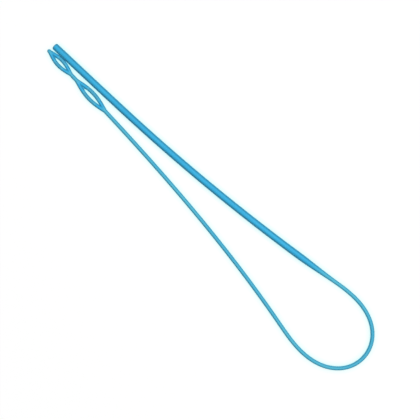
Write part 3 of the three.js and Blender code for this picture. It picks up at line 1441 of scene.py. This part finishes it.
@dataclass(frozen=True)
class Studio:
    """The pale floor, the soft light and the camera straight above.

    Attributes:
        view_middle: The point below the camera.
        view_width: How much of the threader the picture shows, from side to side.
        view_height: The height above the floor at which it shows that much.
        view_turn: How far the camera is turned.
        lens: The camera's focal length, in millimetres.
        sensor: The width of its sensor, in millimetres.
        clip_factor: How many times nearer and further than its subject the camera sees.
        floor_size: The length of the floor's sides.
        floor_cells: How many faces the floor has along a side.
        floor_bounce: The grey with which the floor lights the rod from below.
        shade_kept: How much of the lamp's shade the floor shows, in red, green and blue.
        painted_shade: How much shade it paints into the crevice beside the rod, in red, green and
            blue.
        painted_shade_reach: How far from the rod that painted shade reaches.
        painted_shade_samples: How many rays feel for the rod.
        shade_end: The distances from the middle between which shade and painted shade fade away.
        key_energy: The lamp's power, in watts.
        key_size: The lamp's diameter.
        key_place: Where it hangs.
        fill: The strength of the even light from all round.
    """

    view_middle: tuple[float, float] = (2.13 * MM, 0.69 * MM)
    view_width: float = 136.5 * MM
    view_height: float = 0.8 * MM
    view_turn: float = math.radians(43.39)
    lens: float = 100.0
    sensor: float = 36.0
    clip_factor: float = 100.0
    floor_size: float = 4.0
    floor_cells: int = 4
    floor_bounce: Colour = (0.5, 0.5, 0.5, 1.0)
    shade_kept: tuple[float, float, float] = (0.08, 0.06, 0.04)
    painted_shade: tuple[float, float, float] = (0.56, 0.04, 0.05)
    painted_shade_reach: float = 1.8 * MM
    painted_shade_samples: int = 8
    shade_end: tuple[float, float] = (0.16, 0.3)
    key_energy: float = 4.6
    key_size: float = 0.5
    key_place: tuple[float, float, float] = (0.04, 0.14, 0.6)
    fill: float = 0.08

    @staticmethod
    def backdrop_share(wiring: Wiring) -> bpy.types.NodeSocket:
        """Tells the rays that show the backdrop from those that light the object.

        Args:
            wiring: The nodes of a material or world.

        Returns:
            A socket that gives 1 for rays from the camera, mirrored or let through.
        """
        rays = wiring.node("ShaderNodeLightPath")
        seen = wiring.math("ADD", rays.outputs["Is Camera Ray"], rays.outputs["Is Glossy Ray"])
        seen = wiring.math("ADD", seen, rays.outputs["Is Transmission Ray"])
        return wiring.math("MINIMUM", seen, 1.0)

    def floor_glow(self, wiring: Wiring, far: bpy.types.NodeSocket) -> bpy.types.NodeSocket:
        """Mixes the light that the floor gives off: white where unshaded, with painted shade by the
        rod.

        Args:
            wiring: The floor's nodes.
            far: The socket that gives 1 where shade and painted shade have faded away.

        Returns:
            The socket of the light's colour.
        """
        # Painted shade: ambient occlusion beside the rod darkens the floor's glow, most in red.
        beside = wiring.node("ShaderNodeAmbientOcclusion", samples=self.painted_shade_samples)
        beside.inputs["Distance"].default_value = self.painted_shade_reach
        open_share = [1 - kept for kept in self.shade_kept]
        painted_shade_colour = [share - painted_shade for share, painted_shade in zip(open_share, self.painted_shade)]
        glow = wiring.colour_mix(beside.outputs["AO"], (*painted_shade_colour, 1.0), (*open_share, 1.0))
        return wiring.colour_mix(far, glow, WHITE)

    def floor_finish(self) -> bpy.types.Material:
        """Makes the floor's white, which keeps a faint shade and a painted blue-green shade at the
        rod.

        Returns:
            The finished material.
        """
        made = bpy.data.materials.new("studio_white")
        wiring = Wiring.afresh(made)
        seen = self.backdrop_share(wiring)
        away = wiring.node("ShaderNodeVectorMath", operation="LENGTH")
        wiring.join(wiring.node("ShaderNodeTexCoord").outputs["Object"], away.inputs[0])
        far = wiring.band(away.outputs["Value"], *self.shade_end)
        paint = wiring.node("ShaderNodeBsdfDiffuse")
        shaded = wiring.colour_mix(far, (*self.shade_kept, 1.0), BLACK)
        wiring.join(wiring.colour_mix(seen, self.floor_bounce, shaded), paint.inputs["Color"])
        white = wiring.node("ShaderNodeEmission")
        wiring.join(self.floor_glow(wiring, far), white.inputs["Color"])
        wiring.join(seen, white.inputs["Strength"])
        both = wiring.node("ShaderNodeAddShader")
        wiring.join(paint.outputs["BSDF"], both.inputs[0])
        wiring.join(white.outputs["Emission"], both.inputs[1])
        end = wiring.node("ShaderNodeOutputMaterial")
        wiring.join(both.outputs["Shader"], end.inputs["Surface"])
        return made

    def floor(self) -> None:
        """Makes the floor that the threader lies on."""
        bm = bmesh.new()
        cells = self.floor_cells
        bmesh.ops.create_grid(bm, x_segments=cells, y_segments=cells, size=self.floor_size / 2)
        placed("studio_floor", bm, self.floor_finish())

    def world(self) -> None:
        """Makes the even fill light, behind which the backdrop is white."""
        world = bpy.data.worlds.new("studio_air")
        wiring = Wiring.afresh(world)
        fill = wiring.node("ShaderNodeBackground")
        fill.inputs["Color"].default_value = WHITE
        fill.inputs["Strength"].default_value = self.fill
        white = wiring.node("ShaderNodeBackground")
        white.inputs["Color"].default_value = WHITE
        blend = wiring.node("ShaderNodeMixShader")
        wiring.join(self.backdrop_share(wiring), blend.inputs["Fac"])
        wiring.join(fill.outputs["Background"], blend.inputs[1])
        wiring.join(white.outputs["Background"], blend.inputs[2])
        end = wiring.node("ShaderNodeOutputWorld")
        wiring.join(blend.outputs["Shader"], end.inputs["Surface"])
        bpy.context.scene.world = world

    def lamp(self) -> None:
        """Hangs the wide soft lamp above, towards the handle's side."""
        data = bpy.data.lights.new("soft_key", "AREA")
        data.shape = "DISK"
        data.size = self.key_size
        data.energy = self.key_energy
        lamp = bpy.data.objects.new("soft_key", data)
        lamp.location = self.key_place
        lamp.rotation_mode = "QUATERNION"
        lamp.rotation_quaternion = (-Vector(self.key_place)).to_track_quat("-Z", "Y")
        bpy.context.scene.collection.objects.link(lamp)

    def camera(self) -> None:
        """Sets the camera straight above, turned so that the rod runs across the picture."""
        data = bpy.data.cameras.new("camera")
        data.lens = self.lens
        data.sensor_width = self.sensor
        height = self.view_height + self.view_width * self.lens / self.sensor
        data.clip_start = height / self.clip_factor
        data.clip_end = height * self.clip_factor
        camera = bpy.data.objects.new("camera", data)
        camera.location = (*self.view_middle, height)
        camera.rotation_euler = (0.0, 0.0, self.view_turn)
        bpy.context.scene.collection.objects.link(camera)
        bpy.context.scene.camera = camera

    def build(self) -> None:
        """Sets the whole studio up."""
        self.camera()
        self.floor()
        self.world()
        self.lamp()
        bpy.context.scene.view_settings.view_transform = "Standard"
        LOG.info("the studio is set")


def eye_heading() -> float:
    """Reads from the frame's hinges where the eyes point.

    Returns:
        The direction from the rear eye's hinge to the front eye's, in radians.
    """
    hinges = {joint["child"]: Vector(joint["pos_m"]) for joint in frame["joints"]}
    along = hinges["front_eye"] - hinges["rear_eye"]
    return math.atan2(along.y, along.x)


def main() -> None:
    """Builds the studio and the threader."""
    logging.basicConfig(level=logging.INFO, format="%(message)s")
    Studio().build()
    butt = next(mount for mount in frame["record"]["mounts"] if mount["name"] == "butt_end")
    handle, shaft, eyes = Handle(), Shaft(), EyeEnd()
    line = Centreline(handle, shaft, eyes, Loop(), Vector(butt["pos_m"]), eye_heading())
    effects = Effects(
        MeltFlow().group(), MouldGrain().group(), DrawnScuffs().group(), PartingLine().group()
    )
    moulding = Moulding(handle, shaft, eyes, line)
    finishes = {slot: BluePlastic(slot, moulding.shaft_end).material(effects) for slot in Slot}
    Threader(moulding, finishes).build()


if __name__ == "__main__":
    main()
